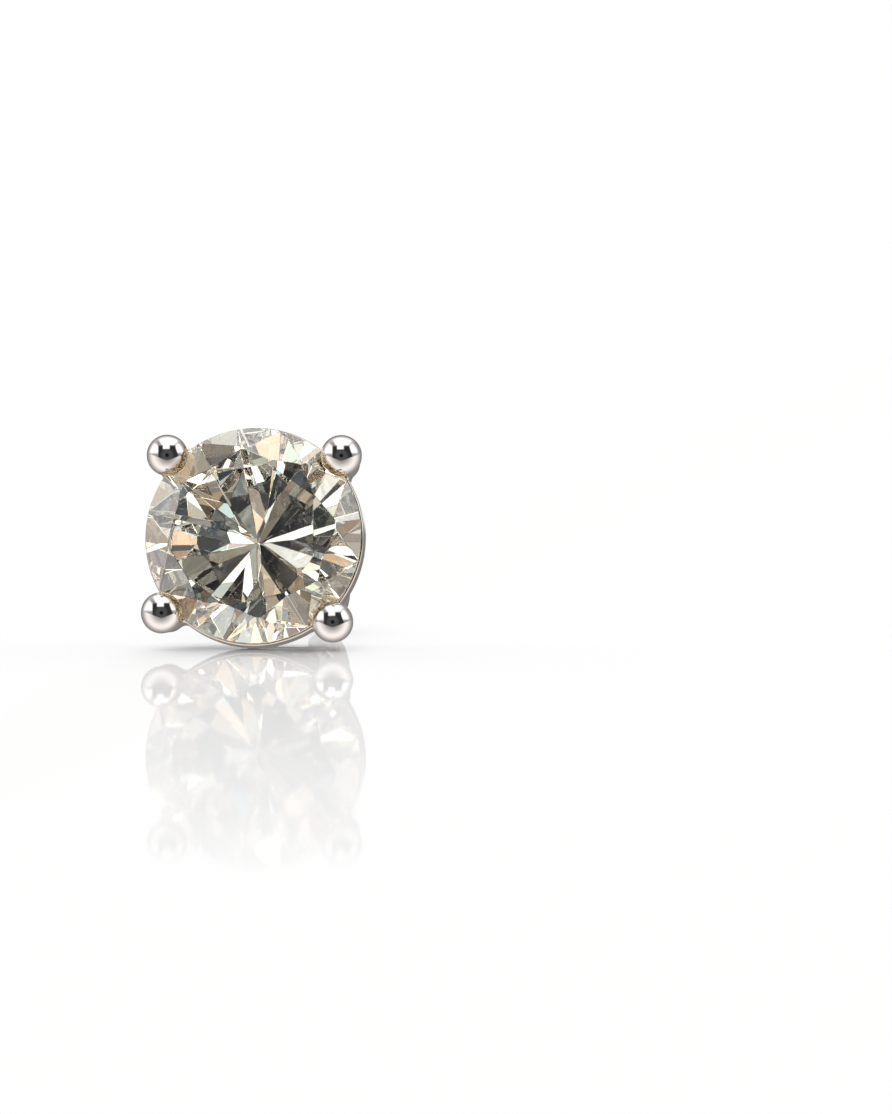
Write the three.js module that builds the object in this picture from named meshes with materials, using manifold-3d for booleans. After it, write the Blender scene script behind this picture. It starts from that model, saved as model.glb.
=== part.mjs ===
// A stud earring: a round brilliant in a four-prong basket with ball tips, with an ear post and a butterfly back.
// Units are millimetres. In the stud's own frame the axis of the stone is Z, its face looks along +Z,
// X is to the right and Y is up as the face is seen, and the middle of the girdle is the origin.
// At the end the stud is laid on the plane Z = 0 of the part's frame, with its face towards -Y.

import * as THREE from "three";
import { mergeVertices } from "three/addons/utils/BufferGeometryUtils.js";
import Module from "manifold-3d";

const wasm = await Module();
wasm.setup();

// Stone: a round brilliant of about one carat
const STONE_DIAMETER = 6.4;
const MAIN_FACETS = 8;
const TABLE_SHARE = 0.68; // table from corner to corner, as a share of the diameter
const CROWN_ANGLE = 34.5; // degrees from the girdle plane
const PAVILION_ANGLE = 42.7;
const STAR_LENGTH = 0.5; // share of the way from the table's edge to the girdle
const LOWER_HALF_LENGTH = 0.85; // share of the way from the girdle to the culet
const GIRDLE_HEIGHT = 0.22; // where it is thickest
const GIRDLE_SIDES = 64;
const STONE_TURN = 33; // direction of the first crown main, degrees anticlockwise from the right
const SEAT_SCALE = 1.015; // the seat is cut by the stone grown by this much, which leaves 0.03 mm or more

// Prongs: where each ball tip sits, seen from the front
const PRONGS = [
  { name: "upper right", angle: 41.7, reach: 3.51 },
  { name: "upper left", angle: 137.7, reach: 3.45 },
  { name: "lower left", angle: 222.1, reach: 3.53 },
  { name: "lower right", angle: 313.4, reach: 3.59 },
];
const BALL_RADIUS = 0.6;
const BALL_HEIGHT = 0.5; // centre of the ball in front of the girdle
const NECK_RADIUS = 0.56; // of the wire where it enters the ball
const KNEE_RADIUS = 0.52; // where the wire bends, at the ring
const KNEE_INSET = 0.12; // how much nearer the axis than the ball
const KNEE_HEIGHT = -0.5;
const FOOT_RADIUS = 0.48;
const FOOT_REACH = 1.12;
const FOOT_HEIGHT = -3.5;
const PRONG_SIDES = 24;
const BALL_STEPS = 10; // from the neck to the top of the ball

// Gallery ring behind the girdle
const RING_RADIUS = 3.25;
const RING_INNER_RADIUS = 2.72;
const RING_FRONT = -0.18;
const RING_BACK = -0.85;
const RING_EDGE = 0.09; // chamfer on its outer edges
const RING_SIDES = 64;

// Base and post
const BASE_RADIUS = 1.65;
const BASE_FRONT = -3.25;
const BASE_BACK = -3.85;
const BASE_EDGE = 0.12;
const BASE_SIDES = 48;
const POST_RADIUS = 0.42;
const POST_LENGTH = 9.6; // from the back of the base to the tip
const POST_SIDES = 24;
const TIP_STEPS = 4;

// Ear back: a strip whose two ends curl round and grip the post
const LOBE_GAP = 4.9; // free post between the base and the ear back
const BACK_WIDTH = 3.4;
const BACK_HEIGHT = 2.8;
const STRIP_THICKNESS = 0.28;
const CURL_DEPTH = 1; // half the depth of a curl, on its middle line
const CURL_END = 305; // degrees round the curl where the strip ends
const CURL_STEP = 15;
const CURL_CLOSING = 0.16; // how much the curl has tightened at its end
const CORNER_RADIUS = 1.75; // of the cylinder that rounds the strip's corners
const RUNNING_GAP = 0.05; // between the ear back and the post

const SAME_POINT = 1e-5; // vertices nearer to each other than this are one
const CENTRE = new THREE.Vector3(0, 0, 0);
const FORWARDS = new THREE.Vector3(0, 0, 1);

const radians = THREE.MathUtils.degToRad;

// A closed geometry as a solid for joining and cutting
function solid(geometry) {
  const bare = geometry.clone();
  bare.deleteAttribute("normal");
  bare.deleteAttribute("uv");
  const merged = mergeVertices(bare, SAME_POINT);
  const corners = merged.index.array;
  const kept = [];
  for (let i = 0; i < corners.length; i += 3) {
    const [a, b, c] = [corners[i], corners[i + 1], corners[i + 2]];
    if (a !== b && b !== c && c !== a) {
      kept.push(a, b, c);
    }
  }
  const mesh = new wasm.Mesh({
    numProp: 3,
    vertProperties: new Float32Array(merged.attributes.position.array),
    triVerts: new Uint32Array(kept),
  });
  return new wasm.Manifold(mesh);
}

// A solid back as a geometry
function geometryOf(shape) {
  const mesh = shape.getMesh();
  const geometry = new THREE.BufferGeometry();
  geometry.setAttribute("position", new THREE.BufferAttribute(mesh.vertProperties, 3));
  geometry.setIndex(new THREE.BufferAttribute(mesh.triVerts, 1));
  geometry.computeVertexNormals();
  return geometry;
}

// A profile of [radius, height] pairs turned about the Z axis
function turned(profile, sides) {
  const points = profile.map(([radius, height]) => new THREE.Vector2(radius, height));
  return new THREE.LatheGeometry(points, sides).rotateX(Math.PI / 2);
}

// A point given by its distance from the axis, its direction in degrees and its height
function polar(reach, angle, height) {
  const turn = radians(angle);
  return new THREE.Vector3(reach * Math.cos(turn), reach * Math.sin(turn), height);
}

// The block that a flat cut through three points takes off the stone
function groundAway(a, b, c) {
  const size = 4 * STONE_DIAMETER;
  const plane = new THREE.Plane().setFromCoplanarPoints(a, b, c);
  if (plane.distanceToPoint(CENTRE) > 0) {
    plane.negate();
  }
  const block = new THREE.BoxGeometry(size, size, size);
  block.translate(0, 0, size / 2);
  block.applyQuaternion(new THREE.Quaternion().setFromUnitVectors(FORWARDS, plane.normal));
  block.translate(...plane.normal.clone().multiplyScalar(-plane.constant));
  return solid(block);
}

// The round brilliant: a round blank with each facet ground flat
function brilliant() {
  const radius = STONE_DIAMETER / 2;
  const half = 180 / MAIN_FACETS;
  const crownSlope = Math.tan(radians(CROWN_ANGLE));
  const pavilionSlope = Math.tan(radians(PAVILION_ANGLE));
  const slant = Math.cos(radians(half));
  const edge = GIRDLE_HEIGHT / 2;

  const tableCorner = TABLE_SHARE * radius;
  const tableHeight = edge + (radius - tableCorner) * crownSlope;
  const tableEdge = tableCorner * slant;
  const starReach = tableEdge + STAR_LENGTH * (radius - tableEdge);
  const starHeight = edge + (radius - starReach * slant) * crownSlope;
  const culetHeight = -edge - radius * pavilionSlope;
  const lowerReach = (1 - LOWER_HALF_LENGTH) * radius;
  const lowerHeight = -edge - (radius - lowerReach * slant) * pavilionSlope;

  const blank = [[0, culetHeight], [radius, culetHeight], [radius, tableHeight], [0, tableHeight]];
  let stone = solid(turned(blank, GIRDLE_SIDES));
  const culet = new THREE.Vector3(0, 0, culetHeight);
  for (let k = 0; k < MAIN_FACETS; k++) {
    const main = 2 * half * k;
    const corner = polar(tableCorner, main, tableHeight);
    const nextCorner = polar(tableCorner, main + 2 * half, tableHeight);
    const topOfMain = polar(radius, main, edge);
    const footOfMain = polar(radius, main, -edge);
    const star = polar(starReach, main + half, starHeight);
    const starBefore = polar(starReach, main - half, starHeight);
    stone = stone.subtract(groundAway(topOfMain, star, starBefore));
    stone = stone.subtract(groundAway(corner, nextCorner, star));
    const lower = polar(lowerReach, main + half, lowerHeight);
    const lowerBefore = polar(lowerReach, main - half, lowerHeight);
    stone = stone.subtract(groundAway(footOfMain, lower, culet));
    for (const side of [-1, 1]) {
      const topOfHalf = polar(radius, main + side * half, edge);
      const footOfHalf = polar(radius, main + side * half, -edge);
      stone = stone.subtract(groundAway(topOfMain, side > 0 ? star : starBefore, topOfHalf));
      stone = stone.subtract(groundAway(footOfMain, side > 0 ? lower : lowerBefore, footOfHalf));
    }
  }
  return stone;
}

// How far a prong's middle line is from the stone's axis at a given height
function prongReach(reach, height, neckHeight) {
  const knee = reach - KNEE_INSET;
  if (height >= neckHeight) {
    return reach;
  }
  if (height >= KNEE_HEIGHT) {
    return THREE.MathUtils.mapLinear(height, KNEE_HEIGHT, neckHeight, knee, reach);
  }
  return THREE.MathUtils.mapLinear(height, FOOT_HEIGHT, KNEE_HEIGHT, FOOT_REACH, knee);
}

// One prong: turned straight, with its ball tip, then leaned inwards down to the base
function prong({ angle, reach }) {
  const neckTurn = Math.asin(NECK_RADIUS / BALL_RADIUS);
  const profile = [[0, FOOT_HEIGHT], [FOOT_RADIUS, FOOT_HEIGHT], [KNEE_RADIUS, KNEE_HEIGHT]];
  for (let i = 0; i <= BALL_STEPS; i++) {
    const turn = neckTurn + (Math.PI - neckTurn) * (i / BALL_STEPS);
    profile.push([BALL_RADIUS * Math.sin(turn), BALL_HEIGHT - BALL_RADIUS * Math.cos(turn)]);
  }
  const neckHeight = BALL_HEIGHT - BALL_RADIUS * Math.cos(neckTurn);
  const wire = turned(profile, PRONG_SIDES);
  const places = wire.attributes.position;
  for (let i = 0; i < places.count; i++) {
    places.setX(i, places.getX(i) + prongReach(reach, places.getZ(i), neckHeight));
  }
  return solid(wire.rotateZ(radians(angle)));
}

function galleryRing() {
  return solid(turned([
    [RING_INNER_RADIUS, RING_BACK],
    [RING_RADIUS - RING_EDGE, RING_BACK],
    [RING_RADIUS, RING_BACK + RING_EDGE],
    [RING_RADIUS, RING_FRONT - RING_EDGE],
    [RING_RADIUS - RING_EDGE, RING_FRONT],
    [RING_INNER_RADIUS, RING_FRONT],
    [RING_INNER_RADIUS, RING_BACK],
  ], RING_SIDES));
}

function base() {
  return solid(turned([
    [0, BASE_BACK],
    [BASE_RADIUS - BASE_EDGE, BASE_BACK],
    [BASE_RADIUS, BASE_BACK + BASE_EDGE],
    [BASE_RADIUS, BASE_FRONT - BASE_EDGE],
    [BASE_RADIUS - BASE_EDGE, BASE_FRONT],
    [0, BASE_FRONT],
  ], BASE_SIDES));
}

// The post has a half-round tip
function post() {
  const tip = BASE_BACK - POST_LENGTH;
  const profile = [];
  for (let i = 0; i <= TIP_STEPS; i++) {
    const turn = (Math.PI / 2) * (i / TIP_STEPS);
    profile.push([POST_RADIUS * Math.sin(turn), tip + POST_RADIUS * (1 - Math.cos(turn))]);
  }
  const root = (BASE_BACK + BASE_FRONT) / 2;
  profile.push([POST_RADIUS, root], [0, root]);
  return solid(turned(profile, POST_SIDES));
}

// All the metal in front of the ear lobe, and the post, soldered into one body
function setting(stone) {
  let metal = galleryRing().add(base()).add(post());
  for (const place of PRONGS) {
    metal = metal.add(prong(place));
  }
  const seat = geometryOf(stone).scale(SEAT_SCALE, SEAT_SCALE, SEAT_SCALE);
  return metal.subtract(solid(seat));
}

// The middle line of one half of the strip, as [sideways, backwards] from the front of the ear back
function curlLine() {
  const inner = POST_RADIUS + RUNNING_GAP + STRIP_THICKNESS / 2;
  const outer = BACK_WIDTH / 2 - STRIP_THICKNESS / 2;
  const reach = (outer - inner) / 2;
  const middle = (outer + inner) / 2;
  const line = [];
  for (let turn = 0; turn <= CURL_END; turn += CURL_STEP) {
    const tightening = 1 - CURL_CLOSING * Math.max(0, (turn - 180) / (CURL_END - 180));
    const sideways = middle + reach * Math.sin(radians(turn));
    const backwards = STRIP_THICKNESS / 2 + CURL_DEPTH * (1 - tightening * Math.cos(radians(turn)));
    line.push(new THREE.Vector2(sideways, backwards));
  }
  return line;
}

// The strip's outline: out along the outside of the curls and back along the inside
function stripOutline() {
  const right = curlLine();
  const left = right.map((point) => new THREE.Vector2(-point.x, point.y)).reverse();
  const line = [...left, ...right];
  const outside = [];
  const inside = [];
  line.forEach((point, i) => {
    const before = line[Math.max(i - 1, 0)];
    const after = line[Math.min(i + 1, line.length - 1)];
    const along = after.clone().sub(before).normalize();
    const across = new THREE.Vector2(along.y, -along.x).multiplyScalar(STRIP_THICKNESS / 2);
    outside.push(point.clone().add(across));
    inside.push(point.clone().sub(across));
  });
  return [...outside, ...inside.reverse()];
}

function earBack() {
  const front = BASE_BACK - LOBE_GAP;
  const strip = new THREE.ExtrudeGeometry(new THREE.Shape(stripOutline()), {
    depth: BACK_HEIGHT,
    bevelEnabled: false,
  });
  strip.translate(0, 0, -BACK_HEIGHT / 2);
  strip.rotateX(-Math.PI / 2);
  strip.translate(0, 0, front);
  const deep = 3 * CURL_DEPTH;
  const corners = turned([
    [0, front - deep],
    [CORNER_RADIUS, front - deep],
    [CORNER_RADIUS, front + deep],
    [0, front + deep],
  ], BASE_SIDES);
  const hole = turned([
    [0, front - STRIP_THICKNESS * 2],
    [POST_RADIUS + RUNNING_GAP, front - STRIP_THICKNESS * 2],
    [POST_RADIUS + RUNNING_GAP, front + STRIP_THICKNESS],
    [0, front + STRIP_THICKNESS],
  ], POST_SIDES);
  return solid(strip).intersect(solid(corners)).subtract(solid(hole));
}

const whiteGold = { color: 0xd9d5d2, roughness: 0.08, metalness: 1 };

function piece(name, shape, look) {
  const mesh = new THREE.Mesh(geometryOf(shape), new THREE.MeshStandardMaterial(look));
  mesh.name = name;
  return mesh;
}

const stone = solid(geometryOf(brilliant()).rotateZ(radians(STONE_TURN)));
const stud = new THREE.Group();
stud.add(piece("stone", stone, { color: 0xeef0ec, roughness: 0.02, metalness: 0 }));
stud.add(piece("setting", setting(stone), whiteGold));
stud.add(piece("ear_back", earBack(), whiteGold));

// The stud lies as it would by itself, on the ring's back edge and on the back edges of the ear back
const backOfCurls = BASE_BACK - LOBE_GAP - STRIP_THICKNESS - 2 * CURL_DEPTH;
const lean = Math.atan2(RING_RADIUS - BACK_HEIGHT / 2, RING_BACK + RING_EDGE - backOfCurls);
stud.rotation.x = Math.PI / 2 - lean;

// The part's origin is below the middle of its box
const earring = new THREE.Group();
earring.add(stud);
const box = new THREE.Box3().setFromObject(earring, true);
const middle = box.getCenter(new THREE.Vector3());
earring.position.set(-middle.x, -middle.y, -box.min.z);

export default earring;
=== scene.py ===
import math

import bmesh
import bpy
import numpy as np
from mathutils import Matrix, Vector


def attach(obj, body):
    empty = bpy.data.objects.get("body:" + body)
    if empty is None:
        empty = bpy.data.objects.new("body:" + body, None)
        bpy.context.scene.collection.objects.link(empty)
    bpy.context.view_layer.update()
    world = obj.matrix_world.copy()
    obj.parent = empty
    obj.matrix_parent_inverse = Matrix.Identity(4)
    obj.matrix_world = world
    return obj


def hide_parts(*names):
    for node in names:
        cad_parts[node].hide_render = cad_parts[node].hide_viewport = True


# Photograph
IMAGE_WIDTH = 892
IMAGE_HEIGHT = 1114
STONE_PIXEL = (253.5, 535.9)  # middle of the girdle in the photograph
PIXELS_PER_MM = 33.9
VIEW_AZIMUTH = 6.5  # degrees; the stone is seen from a little to its right
VIEW_BELOW_FACE = 7.5  # and from a little below its axis
CAMERA_DISTANCE = 500.0  # mm
SENSOR = 36.0

# The stud in its own frame, in millimetres: Z along the stone's axis and out of its face, Y up
STONE_RADIUS = 3.2
TABLE_SHARE = 0.695
CROWN_ANGLE = 32.8
PAVILION_ANGLE = 43.6
STAR_LENGTH = 0.43
LOWER_HALF_LENGTH = 0.88
MAIN_FACETS = 8
GIRDLE_HEIGHT = 0.22
GIRDLE_SIDES = 64
STONE_TURN = 31.6
CULET_SHIFT = (0.06, -0.12)
SOLID_PAVILION_ANGLE = 42.7  # of the plainer stone that this one replaces
CUT_SEED = 8  # for how the facets happen to be cut
FACET_MISS = 0.75  # degrees by which a facet commonly misses its ideal direction
SEAT_GAP = 0.03
WORN_EDGE = 0.018  # width of the thin bevel along each edge of the stone
WORN_FROM_ANGLE = 4  # degrees between two facets, from which their edge is worn
WORN_FROM_LENGTH = 0.1
BALL_RADIUS = 0.61
BALL_HEIGHT = 0.5
NECK_RADIUS = 0.56
KNEE_RADIUS = 0.52
KNEE_INSET = 0.12
KNEE_HEIGHT = -0.5
FOOT_RADIUS = 0.4
FOOT_REACH = 1.3
FOOT_HEIGHT = -3.26
PRONGS = [  # angle in degrees, reach from the axis
    (41.7, 3.51),
    (137.7, 3.45),
    (222.1, 3.53),
    (313.4, 3.59),
]
RING_RADIUS = 3.25
RING_INNER_RADIUS = 2.72
RING_FRONT = -0.18
RING_BACK = -0.85
RING_EDGE = 0.09
BASE_RADIUS = 1.65
BASE_FRONT = -3.25
BASE_BACK = -3.85
BASE_EDGE = 0.12
POST_RADIUS = 0.42
POST_LENGTH = 9.6
LOBE_GAP = 4.9
BACK_WIDTH = 3.4
BACK_HEIGHT = 2.8
STRIP_THICKNESS = 0.28
STRIP_EDGE = 0.06
CURL_DEPTH = 1.0
CURL_END = 305
CURL_CLOSING = 0.16
CORNER_RADIUS = 1.75
RUNNING_GAP = 0.05

# Fine surfaces
VOXEL = 0.045
SOLDER_FILLET = 0.16
BALL_FILLET = 0.04
SEAT_EDGE = 0.04
CURL_STEP = 5
HOLE_SIDES = 64
SHARP_FROM_ANGLE = 35  # degrees, on the ear back
FLAT = 0.99  # a normal's height from which a facet counts as the table

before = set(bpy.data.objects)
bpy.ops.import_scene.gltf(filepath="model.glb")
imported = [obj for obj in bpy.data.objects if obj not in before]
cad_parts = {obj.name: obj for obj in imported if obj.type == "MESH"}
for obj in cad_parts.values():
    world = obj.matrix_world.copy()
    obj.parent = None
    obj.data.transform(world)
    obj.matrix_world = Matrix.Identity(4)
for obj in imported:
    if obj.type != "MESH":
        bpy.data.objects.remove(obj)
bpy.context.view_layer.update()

# The stud's frame within the part's
back_of_curls = BASE_BACK - LOBE_GAP - STRIP_THICKNESS - 2 * CURL_DEPTH
LEAN = math.atan2(RING_RADIUS - BACK_HEIGHT / 2, RING_BACK + RING_EDGE - back_of_curls)
AXES = np.array([
    [1, 0, 0],
    [0, math.sin(LEAN), -math.cos(LEAN)],
    [0, math.cos(LEAN), math.sin(LEAN)],
])
MM = 0.001


def vertices_of(mesh):
    out = np.empty(len(mesh.vertices) * 3)
    mesh.vertices.foreach_get("co", out)
    return out.reshape(-1, 3)


def stud_origin():
    """The middle of the girdle: the stone's culet is its farthest point backwards."""
    points = vertices_of(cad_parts["stone"].data)
    backwards = -AXES[:, 2]
    culet = points[np.argmax(points @ backwards)]
    depth = GIRDLE_HEIGHT / 2 + STONE_RADIUS * math.tan(math.radians(SOLID_PAVILION_ANGLE))
    return culet - backwards * depth * MM


ORIGIN = stud_origin()
CONTACT = ORIGIN + AXES @ np.array([0, -RING_RADIUS, RING_BACK + RING_EDGE]) * MM


def to_part(points):
    """From the stud's frame in mm to the part's in metres."""
    return ORIGIN + (np.asarray(points) @ AXES.T) * MM


def to_stud(points):
    return ((np.asarray(points) - ORIGIN) @ AXES) / MM


def polar(reach, angle, height):
    turn = math.radians(angle)
    return np.array([reach * math.cos(turn), reach * math.sin(turn), height])


# Stone

def plane_through(a, b, c):
    normal = np.cross(b - a, c - a)
    normal /= np.linalg.norm(normal)
    return (normal if normal @ a > 0 else -normal), a


def ideal_facets():
    """The facets of an ideal brilliant by kind, each as a normal and a point on it."""
    radius = STONE_RADIUS
    half = 180 / MAIN_FACETS
    crown_slope = math.tan(math.radians(CROWN_ANGLE))
    pavilion_slope = math.tan(math.radians(PAVILION_ANGLE))
    slant = math.cos(math.radians(half))
    edge = GIRDLE_HEIGHT / 2
    corner_reach = TABLE_SHARE * radius
    table_height = edge + (radius - corner_reach) * crown_slope
    star_reach = corner_reach * slant + STAR_LENGTH * (radius - corner_reach * slant)
    star_height = edge + (radius - star_reach * slant) * crown_slope
    lower_reach = (1 - LOWER_HALF_LENGTH) * radius
    lower_height = -edge - (radius - lower_reach * slant) * pavilion_slope
    culet = np.array([*CULET_SHIFT, -edge - radius * pavilion_slope])
    lower_shift = np.array([*CULET_SHIFT, 0]) * (1 - lower_reach * slant / radius)
    kinds = ("pavilion main", "lower half", "table", "star", "crown main", "upper half")
    facets = {kind: [] for kind in kinds}
    facets["table"].append((np.array([0, 0, 1.0]), np.array([0, 0, table_height])))
    for k in range(MAIN_FACETS):
        main = STONE_TURN + 2 * half * k
        between = main + half
        following = main + 2 * half
        top, top_between, top_next = (polar(radius, angle, edge) for angle in (main, between, following))
        foot, foot_between, foot_next = (polar(radius, angle, -edge) for angle in (main, between, following))
        star, earlier_star = (polar(star_reach, angle, star_height) for angle in (between, main - half))
        corner, next_corner = (polar(corner_reach, angle, table_height) for angle in (main, following))
        lower = polar(lower_reach, between, lower_height) + lower_shift
        facets["crown main"].append(plane_through(top, star, earlier_star))
        facets["star"].append(plane_through(corner, next_corner, star))
        facets["upper half"].append(plane_through(top, star, top_between))
        facets["upper half"].append(plane_through(top_next, star, top_between))
        facets["pavilion main"].append(plane_through(foot, culet, foot + np.cross([0, 0, 1.0], foot)))
        facets["lower half"].append(plane_through(foot, lower, foot_between))
        facets["lower half"].append(plane_through(foot_next, lower, foot_between))
    return facets


def missed(normal, point, sideways, slope):
    """The facet turned a little about its place at the girdle."""
    if abs(normal[2]) > FLAT:
        across = np.array([1.0, 0, 0])
        pivot = np.array([0, 0, point[2]])
    else:
        across = np.cross(normal, [0, 0, 1.0])
        across /= np.linalg.norm(across)
        rim = normal[:2] / np.linalg.norm(normal[:2]) * STONE_RADIUS
        pivot = np.array([*rim, point[2] - normal[:2] @ (rim - point[:2]) / normal[2]])
    turned = normal + math.radians(sideways) * across + math.radians(slope) * np.cross(normal, across)
    return turned / np.linalg.norm(turned), pivot


def cut_planes():
    """The facets as cut, and the sides of the girdle."""
    chance = np.random.default_rng(CUT_SEED)
    cuts = []
    for facets in ideal_facets().values():
        for facet in facets:
            cuts.append(missed(*facet, *chance.normal(0, FACET_MISS, 2)))
    for k in range(GIRDLE_SIDES):
        middle = STONE_TURN + (k + 0.5) * 360 / GIRDLE_SIDES
        reach = STONE_RADIUS * math.cos(math.pi / GIRDLE_SIDES)
        cuts.append((polar(1, middle, 0), polar(reach, middle, 0)))
    return cuts


CUTS = cut_planes()
FACET_NORMALS = np.array([normal for normal, point in CUTS])
FACET_OFFSETS = np.array([normal @ point for normal, point in CUTS])


def cut_off(build, normal, point):
    geometry = build.verts[:] + build.edges[:] + build.faces[:]
    cut = bmesh.ops.bisect_plane(
        build, geom=geometry, dist=1e-6, plane_co=tuple(point), plane_no=tuple(normal), clear_outer=True,
    )
    rim = [item for item in cut["geom_cut"] if isinstance(item, bmesh.types.BMEdge)]
    if len(rim) > 2:
        bmesh.ops.edgeloop_fill(build, edges=rim)
    bmesh.ops.recalc_face_normals(build, faces=build.faces)


def make_stone(material):
    build = bmesh.new()
    bmesh.ops.create_cube(build, size=4 * STONE_RADIUS)
    for normal, point in CUTS:
        cut_off(build, normal, point)
    worn = []
    for edge in build.edges:
        angle = edge.calc_face_angle(0)
        if angle > math.radians(WORN_FROM_ANGLE) and edge.calc_length() > WORN_FROM_LENGTH:
            normal = (edge.link_faces[0].normal + edge.link_faces[1].normal).normalized()
            middle = (edge.verts[0].co + edge.verts[1].co) / 2
            worn.append((normal, middle - normal * WORN_EDGE / 2 * math.tan(angle / 2)))
    for normal, point in worn:
        cut_off(build, normal, point)
    mesh = bpy.data.meshes.new("stone_cut")
    build.to_mesh(mesh)
    build.free()
    mesh.vertices.foreach_set("co", to_part(vertices_of(mesh)).ravel())
    mesh.update()
    return new_piece("stone_cut", mesh, material, "stone")


# Distances to the setting's forms, each with its gradient

def ball_distance(points, centre, radius):
    away = points - centre
    length = np.linalg.norm(away, axis=1)
    return length - radius, away / np.maximum(length, 1e-9)[:, None]


def wire_distance(points, start, end, start_radius, end_radius):
    along = end - start
    share = np.clip((points - start) @ along / (along @ along), 0, 1)
    away = points - (start + share[:, None] * along)
    length = np.linalg.norm(away, axis=1)
    radius = start_radius + (end_radius - start_radius) * share
    return length - radius, away / np.maximum(length, 1e-9)[:, None]


def turned_distance(points, inner, outer, low, high, edge):
    """A rounded rectangular section turned about the axis."""
    reach = np.hypot(points[:, 0], points[:, 1])
    outwards = points[:, :2] / np.maximum(reach, 1e-9)[:, None]
    middle = np.array([(inner + outer) / 2, (low + high) / 2])
    half = np.array([(outer - inner) / 2, (high - low) / 2]) - edge
    section = np.column_stack([reach, points[:, 2]]) - middle
    over = np.abs(section) - half
    outside = np.maximum(over, 0)
    outside_length = np.linalg.norm(outside, axis=1)
    distance = outside_length + np.minimum(over.max(axis=1), 0) - edge
    inside_pick = np.eye(2)[over.argmax(axis=1)]
    is_out = (outside_length > 1e-9)[:, None]
    slope = np.where(is_out, outside / np.maximum(outside_length, 1e-9)[:, None], inside_pick)
    slope = slope * np.where(section < 0, -1, 1)
    gradient = np.column_stack([outwards * slope[:, :1], slope[:, 1]])
    return distance, gradient


def flat_sided_distance(points, normals, offsets):
    values = points @ normals.T - offsets
    pick = values.argmax(axis=1)
    return values[np.arange(len(points)), pick], normals[pick]


def blended(one, other, width):
    """Joined, with a fillet of about the given width."""
    share = np.clip(0.5 + 0.5 * (other[0] - one[0]) / width, 0, 1)
    distance = other[0] + (one[0] - other[0]) * share - width * share * (1 - share)
    gradient = other[1] + (one[1] - other[1]) * share[:, None]
    return distance, gradient


def opposite(form):
    return -form[0], -form[1]


def setting_distance(points):
    ring = turned_distance(points, RING_INNER_RADIUS, RING_RADIUS, RING_BACK, RING_FRONT, RING_EDGE)
    legs = None
    prongs = None
    for angle, reach in PRONGS:
        tip = polar(reach, angle, BALL_HEIGHT)
        neck = polar(reach - 0.02, angle, BALL_HEIGHT - 0.2)
        knee = polar(reach - KNEE_INSET, angle, KNEE_HEIGHT)
        foot = polar(FOOT_REACH, angle, FOOT_HEIGHT)
        ball = ball_distance(points, tip, BALL_RADIUS)
        wire = wire_distance(points, knee, neck, KNEE_RADIUS, NECK_RADIUS)
        leg = wire_distance(points, foot, knee, FOOT_RADIUS, KNEE_RADIUS)
        prong = blended(blended(ball, wire, BALL_FILLET), leg, BALL_FILLET)
        prongs = prong if prongs is None else blended(prongs, prong, SOLDER_FILLET)
    metal = blended(ring, prongs, SOLDER_FILLET)
    base = turned_distance(points, -BASE_RADIUS, BASE_RADIUS, BASE_BACK, BASE_FRONT, BASE_EDGE)
    post = wire_distance(
        points,
        np.array([0, 0, BASE_BACK - POST_LENGTH + POST_RADIUS]),
        np.array([0, 0, BASE_FRONT - POST_RADIUS]),
        POST_RADIUS,
        POST_RADIUS,
    )
    metal = blended(metal, blended(base, post, SOLDER_FILLET), SOLDER_FILLET)
    seat = opposite(flat_sided_distance(points, FACET_NORMALS, FACET_OFFSETS + SEAT_GAP))
    return opposite(blended(opposite(metal), opposite(seat), SEAT_EDGE))


def fine_copy(node, voxel):
    """The node's solid as an even mesh in the stud's frame."""
    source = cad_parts[node].data
    mesh = bpy.data.meshes.new("even")
    source.calc_loop_triangles()
    faces = [tuple(triangle.vertices) for triangle in source.loop_triangles]
    mesh.from_pydata(to_stud(vertices_of(source)).tolist(), [], faces)
    thing = bpy.data.objects.new("even", mesh)
    bpy.context.collection.objects.link(thing)
    weld = thing.modifiers.new("weld", "WELD")
    weld.merge_threshold = 1e-4
    remesh = thing.modifiers.new("remesh", "REMESH")
    remesh.mode = "VOXEL"
    remesh.voxel_size = voxel
    even = bpy.data.meshes.new_from_object(thing.evaluated_get(bpy.context.evaluated_depsgraph_get()))
    bpy.data.objects.remove(thing)
    bpy.data.meshes.remove(mesh)
    return even


def neighbours_mean(mesh, points):
    edges = np.empty(len(mesh.edges) * 2, dtype=np.int64)
    mesh.edges.foreach_get("vertices", edges)
    edges = edges.reshape(-1, 2)
    total = np.zeros_like(points)
    count = np.zeros(len(points))
    for a, b in ((0, 1), (1, 0)):
        np.add.at(total, edges[:, a], points[edges[:, b]])
        np.add.at(count, edges[:, a], 1)
    return total / count[:, None]


def settle(mesh, distance_of, rounds=6):
    """Moves every vertex onto the surface, and evens them out along it."""
    points = vertices_of(mesh)
    for turn in range(rounds):
        if turn in (1, 2, 3):
            points = points + 0.5 * (neighbours_mean(mesh, points) - points)
        distance, gradient = distance_of(points)
        size = np.maximum((gradient ** 2).sum(axis=1), 0.25)
        step = np.clip(distance / size, -VOXEL, VOXEL)
        points = points - step[:, None] * gradient
    gradient = distance_of(points)[1]
    normals = gradient / np.maximum(np.linalg.norm(gradient, axis=1), 1e-9)[:, None]
    return points, normals


def new_piece(name, mesh, material, node):
    thing = bpy.data.objects.new(name, mesh)
    bpy.context.collection.objects.link(thing)
    mesh.materials.clear()
    mesh.materials.append(material)
    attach(thing, "root")
    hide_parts(node)
    return thing


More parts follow.
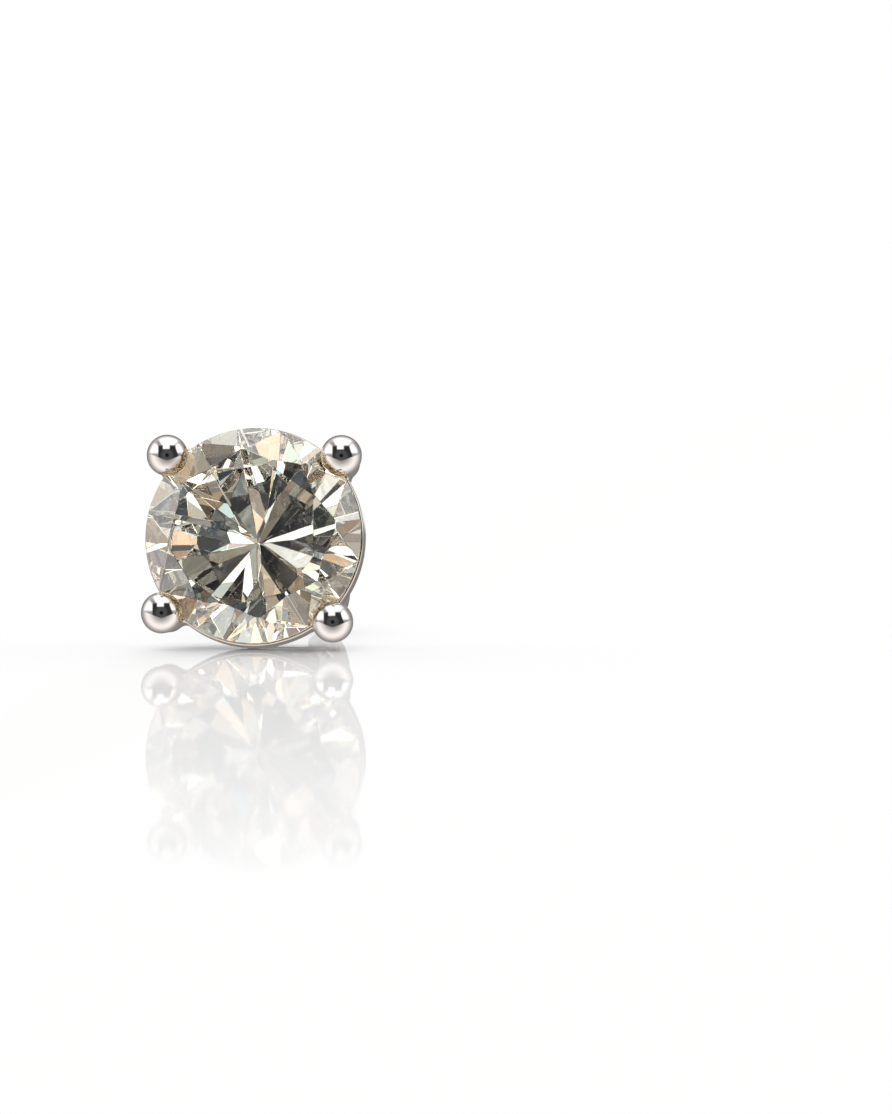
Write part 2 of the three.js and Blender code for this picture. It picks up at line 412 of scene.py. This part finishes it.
def make_setting(material):
    mesh = fine_copy("setting", VOXEL)
    points, normals = settle(mesh, setting_distance)
    mesh.vertices.foreach_set("co", to_part(points).ravel())
    mesh.polygons.foreach_set("use_smooth", np.ones(len(mesh.polygons), dtype=bool))
    mesh.update()
    mesh.normals_split_custom_set_from_vertices((normals @ AXES.T).tolist())
    return new_piece("setting_metal", mesh, material, "setting")


# Ear back: a strip swept along its middle line

def curl_line():
    inner = POST_RADIUS + RUNNING_GAP + STRIP_THICKNESS / 2
    outer = BACK_WIDTH / 2 - STRIP_THICKNESS / 2
    line = []
    for turn in range(0, CURL_END + 1, CURL_STEP):
        tightening = 1 - CURL_CLOSING * max(0, (turn - 180) / (CURL_END - 180))
        angle = math.radians(turn)
        line.append((
            (outer + inner) / 2 + (outer - inner) / 2 * math.sin(angle),
            STRIP_THICKNESS / 2 + CURL_DEPTH * (1 - tightening * math.cos(angle)),
        ))
    return np.array(line)


def make_ear_back(material):
    right = curl_line()
    left = right[::-1] * [-1, 1]
    line = np.vstack([left, right])
    ahead = np.vstack([line[1:], line[-1:]])
    behind = np.vstack([line[:1], line[:-1]])
    along = ahead - behind
    along /= np.linalg.norm(along, axis=1)[:, None]
    across = np.column_stack([along[:, 1], -along[:, 0]])
    section = []
    for corner in range(4):
        for step in range(5):
            turn = math.radians(90 * corner + 22.5 * step)
            sign = [(1, 1), (-1, 1), (-1, -1), (1, -1)][corner]
            section.append((
                sign[0] * (STRIP_THICKNESS / 2 - STRIP_EDGE) + STRIP_EDGE * math.cos(turn),
                sign[1],
                STRIP_EDGE * math.sin(turn),
            ))
    front = BASE_BACK - LOBE_GAP
    build = bmesh.new()
    rings = []
    for (sideways, backwards), direction in zip(line, across):
        ring = []
        for out, side, lift in section:
            x = sideways + out * direction[0]
            z = front - backwards - out * direction[1]
            half = min(BACK_HEIGHT / 2, math.sqrt(CORNER_RADIUS ** 2 - x ** 2))
            ring.append(build.verts.new((x, side * (half - STRIP_EDGE) + lift, z)))
        rings.append(ring)
    for one, other in zip(rings, rings[1:]):
        for i in range(len(one)):
            j = (i + 1) % len(one)
            build.faces.new((one[i], one[j], other[j], other[i]))
    build.faces.new(rings[0])
    build.faces.new(rings[-1][::-1])
    bmesh.ops.recalc_face_normals(build, faces=build.faces)
    mesh = bpy.data.meshes.new("ear_back_metal")
    build.to_mesh(mesh)
    build.free()

    drill = bmesh.new()
    bmesh.ops.create_cone(
        drill, cap_ends=True, segments=HOLE_SIDES,
        radius1=POST_RADIUS + RUNNING_GAP, radius2=POST_RADIUS + RUNNING_GAP, depth=2 * STRIP_THICKNESS,
    )
    drill_mesh = bpy.data.meshes.new("drill")
    drill.to_mesh(drill_mesh)
    drill.free()
    drill_mesh.transform(Matrix.Translation((0, 0, front - STRIP_THICKNESS / 2)))
    strip = bpy.data.objects.new("strip", mesh)
    tool = bpy.data.objects.new("drill", drill_mesh)
    bpy.context.collection.objects.link(strip)
    bpy.context.collection.objects.link(tool)
    cut = strip.modifiers.new("hole", "BOOLEAN")
    cut.operation = "DIFFERENCE"
    cut.object = tool
    cut.solver = "EXACT"
    bored = bpy.data.meshes.new_from_object(strip.evaluated_get(bpy.context.evaluated_depsgraph_get()))
    for thing in (strip, tool):
        bpy.data.objects.remove(thing)
    bored.name = "ear_back_metal"
    bored.vertices.foreach_set("co", to_part(vertices_of(bored)).ravel())
    tidy = bmesh.new()
    tidy.from_mesh(bored)
    for face in tidy.faces:
        face.smooth = True
    for line_edge in tidy.edges:
        line_edge.smooth = line_edge.calc_face_angle(0) < math.radians(SHARP_FROM_ANGLE)
    tidy.to_mesh(bored)
    tidy.free()
    bored.update()
    return new_piece("ear_back_metal", bored, material, "ear_back")


# Materials

DULL_GOLD = (0.80, 0.775, 0.765, 1)
BRIGHT_GOLD = (0.86, 0.84, 0.83, 1)
SHADED_GOLD = (0.46, 0.40, 0.32, 1)  # where it faces the stone
STONE_REFLECTION_GOLD = (0.56, 0.42, 0.27, 1)  # painted reflection of the stone, on the tips, on their side towards it
RING_GOLD = (0.70, 0.64, 0.58, 1)
CLEAR_STONE = (1.0, 0.985, 0.94, 1)
CLOUDED_STONE = (0.97, 0.965, 0.95, 1)
STONE_IOR = 2.417


class Nodes:
    """A short way to write node trees."""

    def __init__(self, tree):
        self.tree = tree
        tree.nodes.clear()

    def add(self, kind, inputs=None, **settings):
        node = self.tree.nodes.new(kind)
        for name, value in settings.items():
            setattr(node, name, value)
        for name, value in (inputs or {}).items():
            self.put(node.inputs[name], value)
        return node

    def put(self, socket, value):
        if isinstance(value, bpy.types.NodeSocket):
            self.tree.links.new(value, socket)
        else:
            socket.default_value = value

    def math(self, operation, *values, clamp=False):
        node = self.tree.nodes.new("ShaderNodeMath")
        node.operation = operation
        node.use_clamp = clamp
        for socket, value in zip(node.inputs, values):
            self.put(socket, value)
        return node.outputs[0]


def stud_place(n):
    """Where a point is in the stud's frame, in mm, and its normal there."""
    source = n.add("ShaderNodeTexCoord")
    from_origin = {0: source.outputs["Object"], 1: tuple(ORIGIN)}
    moved = n.add("ShaderNodeVectorMath", from_origin, operation="SUBTRACT")
    place = []
    normal = []
    for axis in AXES.T:
        for vector, out, unit in ((moved.outputs[0], place, 1 / MM), (source.outputs["Normal"], normal, 1)):
            scaled = tuple(float(part) * unit for part in axis)
            along = n.add("ShaderNodeVectorMath", {0: vector, 1: scaled}, operation="DOT_PRODUCT")
            out.append(along.outputs["Value"])
    return place, normal


def white_gold():
    material = bpy.data.materials.new("white_gold")
    material.use_nodes = True
    n = Nodes(material.node_tree)
    place = n.add("ShaderNodeTexCoord").outputs["Object"]
    wear = n.add("ShaderNodeTexNoise", {"Vector": place, "Scale": 900.0, "Detail": 4.0})
    rough = n.add("ShaderNodeMapRange", {
        "Value": wear.outputs["Fac"], "From Min": 0.3, "From Max": 0.7, "To Min": 0.015, "To Max": 0.05,
    })
    tint = n.add("ShaderNodeMixRGB", {
        "Fac": wear.outputs["Fac"], "Color1": DULL_GOLD, "Color2": BRIGHT_GOLD,
    })
    (x, y, z), (nx, ny, nz) = stud_place(n)
    reach = n.math("SQRT", n.math("ADD", n.math("MULTIPLY", x, x), n.math("MULTIPLY", y, y)))
    outwards = n.math("DIVIDE", n.math("ADD", n.math("MULTIPLY", x, nx), n.math("MULTIPLY", y, ny)), reach)
    to_stone = n.math("MULTIPLY_ADD", n.math("ADD", z, 1.0), nz, n.math("MULTIPLY", outwards, reach))
    stone_side = n.add("ShaderNodeMapRange", {"Value": to_stone, "From Min": -0.3, "From Max": -0.9})
    before_base = n.add("ShaderNodeMapRange", {"Value": z, "From Min": -3.4, "From Max": -3.3})
    dimmed = n.math("MULTIPLY", stone_side.outputs[0], before_base.outputs[0])
    tint = n.add("ShaderNodeMixRGB", {"Fac": dimmed, "Color1": tint.outputs[0], "Color2": SHADED_GOLD})
    # Painted reflection of the stone: a golden-brown crescent on the side of each ball that faces it
    facing = n.math("MULTIPLY_ADD", outwards, -0.40, n.math("MULTIPLY", nz, -0.915))
    ragged = n.add("ShaderNodeTexNoise", {"Vector": place, "Scale": 6000.0, "Detail": 2.0})
    facing = n.math("MULTIPLY_ADD", ragged.outputs["Fac"], 0.05, facing)
    warm = n.add("ShaderNodeMapRange", {
        "Value": facing, "From Min": -0.24, "From Max": -0.20, "To Min": 0.0, "To Max": 1.0,
    })
    inner = n.add("ShaderNodeMapRange", {"Value": outwards, "From Min": -0.15, "From Max": -0.28})
    on_tip = n.add("ShaderNodeMapRange", {"Value": z, "From Min": -0.1, "From Max": 0.1})
    painted_reflection = n.math("MULTIPLY", n.math("MULTIPLY", warm.outputs[0], inner.outputs[0]), on_tip.outputs[0])
    tint = n.add("ShaderNodeMixRGB", {"Fac": painted_reflection, "Color1": tint.outputs[0], "Color2": STONE_REFLECTION_GOLD})
    outside = n.add("ShaderNodeMapRange", {"Value": reach, "From Min": 2.9, "From Max": 3.1})
    on_ring = n.add("ShaderNodeMapRange", {"Value": z, "From Min": -0.1, "From Max": -0.2})
    ringside = n.math("MULTIPLY", outside.outputs[0], on_ring.outputs[0])
    tint = n.add("ShaderNodeMixRGB", {"Fac": ringside, "Color1": tint.outputs[0], "Color2": RING_GOLD})
    scratches = n.add("ShaderNodeTexNoise", {"Vector": place, "Scale": 26000.0, "Detail": 2.0})
    bump = n.add("ShaderNodeBump", {"Height": scratches.outputs["Fac"], "Strength": 0.02, "Distance": 0.00001})
    shader = n.add("ShaderNodeBsdfPrincipled", {
        "Base Color": tint.outputs[0], "Metallic": 1.0,
        "Roughness": rough.outputs[0], "Normal": bump.outputs[0],
    })
    n.add("ShaderNodeOutputMaterial", {"Surface": shader.outputs[0]})
    return material


def diamond():
    material = bpy.data.materials.new("stone")
    material.use_nodes = True
    n = Nodes(material.node_tree)
    place = n.add("ShaderNodeTexCoord").outputs["Object"]
    cloud = n.add("ShaderNodeTexNoise", {"Vector": place, "Scale": 1500.0, "Detail": 3.0})
    body = n.add("ShaderNodeMixRGB", {
        "Fac": cloud.outputs["Fac"], "Color1": CLEAR_STONE, "Color2": CLOUDED_STONE,
    })
    grains = n.add("ShaderNodeTexVoronoi", {"Vector": place, "Scale": 900.0, "Randomness": 1.0})
    speck = n.add("ShaderNodeMapRange", {
        "Value": grains.outputs["Distance"], "From Min": 0.05, "From Max": 0.08, "To Min": 0.45, "To Max": 1.0,
    })
    colour = n.add("ShaderNodeMixRGB", {
        "Fac": 1.0, "Color1": body.outputs[0], "Color2": speck.outputs[0],
    }, blend_type="MULTIPLY")
    lift = stud_place(n)[1][2]
    bruted = n.add("ShaderNodeMapRange", {
        "Value": n.math("ABSOLUTE", lift), "From Min": 0.02, "From Max": 0.04, "To Min": 0.3, "To Max": 0.0,
    })
    shader = n.add("ShaderNodeBsdfPrincipled", {
        "Base Color": colour.outputs[0], "Roughness": bruted.outputs[0],
        "IOR": STONE_IOR, "Transmission Weight": 1.0,
    })
    n.add("ShaderNodeOutputMaterial", {"Surface": shader.outputs[0]})
    return material


# Camera

def direction(azimuth, elevation):
    a, e = math.radians(azimuth), math.radians(elevation)
    return Vector((math.sin(a) * math.cos(e), -math.cos(a) * math.cos(e), math.sin(e)))


def make_camera():
    off_axis = (IMAGE_WIDTH / 2 - STONE_PIXEL[0]) / PIXELS_PER_MM
    below_axis = (IMAGE_HEIGHT / 2 - STONE_PIXEL[1]) / PIXELS_PER_MM
    back = direction(VIEW_AZIMUTH, math.degrees(LEAN) - VIEW_BELOW_FACE)
    facing = (-back).to_track_quat("-Z", "Y")
    right = facing @ Vector((1, 0, 0))
    up = facing @ Vector((0, 1, 0))
    data = bpy.data.cameras.new("camera")
    data.sensor_width = SENSOR
    data.lens = PIXELS_PER_MM * CAMERA_DISTANCE * SENSOR / IMAGE_HEIGHT
    data.clip_start = 0.01
    data.clip_end = 20
    camera = bpy.data.objects.new("camera", data)
    bpy.context.collection.objects.link(camera)
    camera.rotation_mode = "QUATERNION"
    camera.rotation_quaternion = facing
    camera.location = Vector(ORIGIN) + MM * (CAMERA_DISTANCE * back + off_axis * right - below_axis * up)
    bpy.context.scene.camera = camera
    return back, right, up


# Studio: directions are seen from the stud, in the camera's frame

FLOOR_TINT = (1.0, 0.945, 0.91)
WALL_TINT = (1.0, 0.965, 0.95)
RING_ENDS = (24, 42, 70, 105)  # degrees off the camera's axis
RING_TURNS = (0, 10, -8, 14, 0)
RING_LEVELS = (0.085, 0.30, 0.41, 0.43, 0.29)  # the first is the dark camera
PANELS_PER_RING = 8
PANEL_VARIETY = 0.45
RIPPLE_COUNT = 14  # waves of light and dark across the panels
RIPPLE_WAVES = (18, 42)  # the coarsest and the finest
RIPPLE_STRENGTHS = (0.27, 0.11)
LIGHT_SEED = 108
CONTRAST = 1.95
MIDDLE_LEVEL = 0.25  # which the contrast leaves as it is
LEVEL_TINTS = (  # level, and the light's colour there
    (0.02, (0.84, 0.98, 1.19)),
    (0.07, (1.0, 1.0, 0.98)),
    (0.25, (1.15, 1.0, 0.77)),
    (0.7, (1.10, 1.0, 0.80)),
    (1.3, (1.03, 1.0, 0.90)),
)
TINT_PEAK = 1.2
FRINGE_LOW = 0.78  # how far red and blue may go from green
FRINGE_HIGH = 1.28
PANEL_PEAK = 4.0
DARKEST_RIPPLE = 0.12
BRIGHTEST_PANEL = 3.0
ROOM_LIGHT = 0.62
BACK_LIGHT = 2.0
SPREAD = 1.0  # degrees between the stone's red and green, and its green and blue
RIPPLE_SPREAD = 0.012
LAMPS = (  # coloured lamps: degrees round from the right, degrees off the camera's axis, width, tint
    ((160, 40), 0.07, (0.28, 0.84, 1.12)),
)


class Studio(Nodes):
    """Painted in the flat coordinates of a mirror ball: u to the right, v up, 1 at its rim."""

    def __init__(self, tree, back, right, up):
        super().__init__(tree)
        self.ray = self.add("ShaderNodeTexCoord").outputs["Generated"]
        self.x, self.y, self.z = (self.along(self.ray, axis) for axis in (right, up, back))
        stretch = self.math("SQRT", self.math("MULTIPLY_ADD", self.z, 2.0, 2.001))
        self.u = self.math("DIVIDE", self.x, stretch)
        self.v = self.math("DIVIDE", self.y, stretch)
        self.rho = self.length(self.u, self.v)
        self.around = self.math("MULTIPLY", self.math("ARCTAN2", self.y, self.x), math.degrees(1))

    def along(self, ray, axis):
        node = self.add("ShaderNodeVectorMath", {0: ray, 1: tuple(axis)}, operation="DOT_PRODUCT")
        return node.outputs["Value"]

    def length(self, a, b):
        return self.math("SQRT", self.math("ADD", self.math("MULTIPLY", a, a), self.math("MULTIPLY", b, b)))

    def both(self, *shares):
        joined = shares[0]
        for share in shares[1:]:
            joined = self.math("MULTIPLY", joined, share)
        return joined

    def below(self, value, middle, half_width):
        return self.math("SUBTRACT", 1.0, self.step(value, middle, half_width))

    def between(self, value, low, high, half_width):
        return self.both(self.step(value, low, half_width), self.below(value, high, half_width))

    def step(self, value, middle, half_width):
        """0 below the middle, 1 above it."""
        node = self.add("ShaderNodeMapRange", {
            "Value": value,
            "From Min": middle - half_width,
            "From Max": middle + half_width,
        }, interpolation_type="SMOOTHSTEP")
        return node.outputs[0]

    def box(self, left, right, low, high, soft):
        return self.both(self.between(self.u, left, right, soft), self.between(self.v, low, high, soft))

    def disc(self, u, v, radius, soft):
        away = self.length(self.math("SUBTRACT", self.u, u), self.math("SUBTRACT", self.v, v))
        return self.below(away, radius, soft)

    def ramp(self, value, stops, interpolation):
        node = self.add("ShaderNodeValToRGB", {"Fac": value})
        ramp = node.color_ramp
        ramp.interpolation = interpolation
        while len(ramp.elements) < len(stops):
            ramp.elements.new(0.5)
        for element, (place, colour) in zip(ramp.elements, stops):
            element.position = place
            element.color = (*colour, 1)
        return node.outputs[0]

    def mix(self, share, below, above):
        node = self.add("ShaderNodeMix", {0: share, 6: below, 7: above}, data_type="RGBA")
        return node.outputs[2]

    def paint(self, colour, share, level, tint=(1, 1, 1)):
        return self.mix(share, colour, tuple(level * part for part in tint) + (1,))


def metal_studio(n):
    """What the metal mirrors: a dark room round the camera, soft boxes above and beside it, a pale floor."""
    colour = n.add("ShaderNodeRGB")
    colour.outputs[0].default_value = (0.36, 0.345, 0.34, 1)
    colour = colour.outputs[0]
    colour = n.paint(colour, n.both(n.step(n.v, 0.66, 0.10), n.below(n.rho, 0.95, 0.04)), 0.62)
    colour = n.paint(colour, n.step(n.rho, 0.93, 0.05), 0.24, WALL_TINT)
    left = n.both(n.below(n.u, -0.42, 0.05), n.below(n.rho, 0.86, 0.09), n.step(n.around, 134, 6))
    colour = n.paint(colour, n.both(left, n.step(n.v, 0.09, 0.08)), 1.3)
    right = n.both(n.step(n.u, 0.40, 0.05), n.below(n.rho, 0.80, 0.08), n.below(n.around, 50, 6))
    colour = n.paint(colour, n.both(right, n.step(n.v, 0.12, 0.08)), 1.4)
    leaning = n.math("MULTIPLY_ADD", n.v, 0.35, n.u)
    room = n.both(n.step(n.u, -0.43, 0.04), n.below(leaning, 0.54, 0.04), n.below(n.v, 0.46, 0.05))
    colour = n.paint(colour, room, 0.035)
    top = n.both(n.step(n.v, 0.50, 0.04), n.below(n.rho, 0.86, 0.06), n.between(n.around, 54, 118, 6))
    colour = n.paint(colour, top, 1.5)
    colour = n.paint(colour, n.box(-0.20, 0.11, 0.30, 0.6, 0.05), 1.5)
    colour = n.paint(colour, n.disc(0, 0.0, 0.29, 0.08), 0.085)
    colour = n.paint(colour, n.disc(0, 0.0, 0.09, 0.04), 0.008)
    floor = n.ramp(n.rho, [
        (0.15, (0.12, 0.12, 0.12)), (0.25, (0.28, 0.28, 0.28)), (0.4, (0.52, 0.52, 0.52)), (0.62, (1, 1, 1)),
        (0.72, (1, 1, 1)), (0.82, (0.66, 0.66, 0.66)), (0.9, (0.36, 0.36, 0.36)), (1.0, (0.2, 0.2, 0.2)),
    ], "LINEAR")
    floor = n.add("ShaderNodeMixRGB", {"Fac": 1.0, "Color1": floor, "Color2": (
        *(1.15 * part for part in FLOOR_TINT), 1)}, blend_type="MULTIPLY").outputs[0]
    dip = n.math("SQRT", n.math("MULTIPLY_ADD", n.u, n.u, 0.015))
    horizon = n.math("MULTIPLY_ADD", dip, 0.42, -0.29)
    below = n.step(n.math("SUBTRACT", horizon, n.v), 0.0, 0.035)
    colour = n.mix(below, colour, floor)
    behind = n.step(n.math("MULTIPLY", n.z, -1.0), 0.98, 0.005)
    return n.paint(colour, n.math("MULTIPLY", behind, n.step(n.y, -0.02, 0.01)), 1.0)


def panels_and_ripples():
    """Each ring's panels, and the waves across them, each with its strength and phase."""
    chance = np.random.default_rng(LIGHT_SEED)
    rings = []
    for level in RING_LEVELS[1:]:
        rings.append(level * (1 + PANEL_VARIETY * chance.uniform(-1, 1, PANELS_PER_RING)))
    waves = chance.normal(size=(RIPPLE_COUNT, 3))
    waves *= (np.geomspace(*RIPPLE_WAVES, RIPPLE_COUNT) / np.linalg.norm(waves, axis=1))[:, None]
    strengths = np.geomspace(*RIPPLE_STRENGTHS, RIPPLE_COUNT)
    phases = chance.uniform(0, math.tau, RIPPLE_COUNT)
    return rings, list(zip(waves.tolist(), strengths.tolist(), phases.tolist()))


def panel_level(n, rings, off_axis, around, spread):
    """The ring of panels that a ray meets, with its angles shifted by the spread."""
    angle = n.math("ADD", off_axis, spread)
    level = RING_LEVELS[0] / PANEL_PEAK
    for ring, panels in enumerate(rings):
        offset = (math.radians(RING_TURNS[ring + 1]) + spread) / math.tau + 1
        turn = n.math("FRACT", n.math("MULTIPLY_ADD", around, 1 / math.tau, offset))
        stops = [(k / len(panels), (value / PANEL_PEAK,) * 3) for k, value in enumerate(panels)]
        inside = n.below(angle, math.radians(RING_ENDS[ring]), math.radians(0.5))
        split = n.add("ShaderNodeSeparateColor", {0: n.ramp(turn, stops, "CONSTANT")})
        change = n.math("SUBTRACT", level, split.outputs[0])
        level = n.math("MULTIPLY_ADD", inside, change, split.outputs[0])
    return n.math("MULTIPLY", level, PANEL_PEAK)


def stone_studio(n, right, up, back):
    """What the stone gathers: rings of panels round a dark camera, a little apart for each primary colour."""
    off_axis = n.math("ARCCOSINE", n.z)
    around = n.math("ARCTAN2", n.y, n.x)
    rings, ripples = panels_and_ripples()
    waves = []
    for (across, upwards, ahead), strength, phase in ripples:
        wave = Vector(across * right + upwards * up + ahead * back)
        waves.append((n.along(n.ray, wave), strength, phase))
    levels = []
    for shift in (-1, 0, 1):
        level = panel_level(n, rings, off_axis, around, math.radians(SPREAD) * shift)
        ripple = 1.0
        for along, strength, phase in waves:
            turn = n.math("MULTIPLY_ADD", along, 1 + RIPPLE_SPREAD * shift, phase)
            ripple = n.math("MULTIPLY_ADD", n.math("SINE", turn), strength, ripple)
        level = n.math("MULTIPLY", level, n.math("MAXIMUM", ripple, DARKEST_RIPPLE))
        level = n.math("POWER", n.math("DIVIDE", level, MIDDLE_LEVEL), CONTRAST)
        levels.append(n.math("MINIMUM", n.math("MULTIPLY", level, MIDDLE_LEVEL), BRIGHTEST_PANEL))
    green = levels[1]
    sides = []
    for other in levels[::2]:
        ratio = n.math("MAXIMUM", n.math("DIVIDE", other, green), FRINGE_LOW)
        ratio = n.math("MINIMUM", ratio, FRINGE_HIGH)
        sides.append(n.math("MULTIPLY", ratio, green))
    red, blue = sides
    joined = n.add("ShaderNodeCombineColor", {0: red, 1: green, 2: blue})
    stops = [(level / PANEL_PEAK, tuple(part / TINT_PEAK for part in tint)) for level, tint in LEVEL_TINTS]
    tint = n.ramp(n.math("DIVIDE", green, PANEL_PEAK), stops, "LINEAR")
    tint = n.add("ShaderNodeVectorMath", {0: tint, 3: TINT_PEAK}, operation="SCALE")
    product = {0: joined.outputs[0], 1: tint.outputs[0]}
    colour = n.add("ShaderNodeVectorMath", product, operation="MULTIPLY").outputs[0]
    for (turn, off), radius, tint in LAMPS:
        aside = math.cos(math.radians(turn)) * right + math.sin(math.radians(turn)) * up
        place = math.sin(math.radians(off)) * aside + math.cos(math.radians(off)) * back
        ends = {0: n.ray, 1: tuple(place)}
        away = n.add("ShaderNodeVectorMath", ends, operation="DISTANCE").outputs["Value"]
        share = n.below(away, radius, 0.3 * radius)
        tinted = n.add("ShaderNodeVectorMath", {0: colour, 1: tint}, operation="MULTIPLY").outputs[0]
        colour = n.mix(share, colour, tinted)
    return colour


def make_world(back, right, up):
    world = bpy.data.worlds.new("studio")
    bpy.context.scene.world = world
    world.use_nodes = True
    n = Studio(world.node_tree, back, right, up)
    path = n.add("ShaderNodeLightPath")
    from_behind = n.math("MAXIMUM", n.math("MULTIPLY", n.z, -1.0), 0.0)
    soft = n.add("ShaderNodeBackground", {
        "Color": (1, 0.995, 0.99, 1),
        "Strength": n.math("MULTIPLY_ADD", from_behind, BACK_LIGHT, ROOM_LIGHT),
    })
    shown = soft.outputs[0]
    for ray, colour, strength in (
        ("Is Camera Ray", (1, 1, 1, 1), 1.03),
        ("Is Glossy Ray", metal_studio(n), 1.0),
        ("Is Transmission Ray", stone_studio(n, right, up, back), 1.0),
    ):
        part = n.add("ShaderNodeBackground", {"Color": colour, "Strength": strength})
        shown = n.add("ShaderNodeMixShader", {0: path.outputs[ray], 1: shown, 2: part.outputs[0]}).outputs[0]
    n.add("ShaderNodeOutputWorld", {"Surface": shown})


def make_floor():
    material = bpy.data.materials.new("floor")
    material.use_nodes = True
    n = Nodes(material.node_tree)
    place = n.add("ShaderNodeTexCoord").outputs["Object"]
    apart = n.add("ShaderNodeSeparateXYZ", {0: place})
    ahead = n.math("SUBTRACT", float(CONTACT[1]), apart.outputs["Y"])
    aside = n.math("ABSOLUTE", apart.outputs["X"])
    matt = n.add("ShaderNodeBsdfDiffuse", {"Color": (0.98, 0.98, 0.98, 1)})
    glow = n.add("ShaderNodeEmission", {"Color": (1, 1, 1, 1), "Strength": 1.0})
    under = n.add("ShaderNodeMapRange", {
        "Value": aside, "From Min": 0.0015, "From Max": 0.004, "To Min": 1.0, "To Max": 0.3,
    }, interpolation_type="SMOOTHSTEP").outputs[0]
    front = n.add("ShaderNodeMapRange", {
        "Value": ahead, "From Min": -0.004, "From Max": -0.0005, "To Min": 0.35, "To Max": 1.0,
    }, interpolation_type="SMOOTHSTEP").outputs[0]
    shaded = n.math("MULTIPLY", under, front)
    pale = n.add("ShaderNodeMixShader", {0: shaded, 1: glow.outputs[0], 2: matt.outputs[0]})
    gloss = n.add("ShaderNodeBsdfGlossy", {"Color": (1, 1, 1, 1), "Roughness": 0.025})
    fade = n.add("ShaderNodeMapRange", {
        "Value": ahead, "From Min": 0.0, "From Max": 0.125, "To Min": 0.34, "To Max": 0.015,
    })
    fade_behind = n.add("ShaderNodeMapRange", {
        "Value": ahead, "From Min": -0.03, "From Max": -0.002, "To Min": 0.05, "To Max": 1.0,
    })
    shine = n.math("MULTIPLY", fade.outputs[0], fade_behind.outputs[0])
    surface = n.add("ShaderNodeMixShader", {0: shine, 1: pale.outputs[0], 2: gloss.outputs[0]})
    clear = n.add("ShaderNodeBsdfTransparent")
    path = n.add("ShaderNodeLightPath")
    seen = n.math("MAXIMUM", path.outputs["Is Glossy Ray"], path.outputs["Is Transmission Ray"])
    both = n.add("ShaderNodeMixShader", {0: seen, 1: surface.outputs[0], 2: clear.outputs[0]})
    n.add("ShaderNodeOutputMaterial", {"Surface": both.outputs[0]})
    mesh = bpy.data.meshes.new("floor")
    mesh.from_pydata([(-5, -5, 0), (5, -5, 0), (5, 5, 0), (-5, 5, 0)], [], [(0, 1, 2, 3)])
    mesh.materials.append(material)
    floor = bpy.data.objects.new("floor", mesh)
    bpy.context.collection.objects.link(floor)


gold = white_gold()
make_setting(gold)
make_ear_back(gold)
make_stone(diamond())
make_world(*make_camera())
make_floor()

scene = bpy.context.scene
scene.view_settings.view_transform = "Standard"
scene.cycles.max_bounces = 32
scene.cycles.glossy_bounces = 24
scene.cycles.transmission_bounces = 24
scene.cycles.transparent_max_bounces = 16
scene.cycles.caustics_reflective = False
scene.cycles.caustics_refractive = False
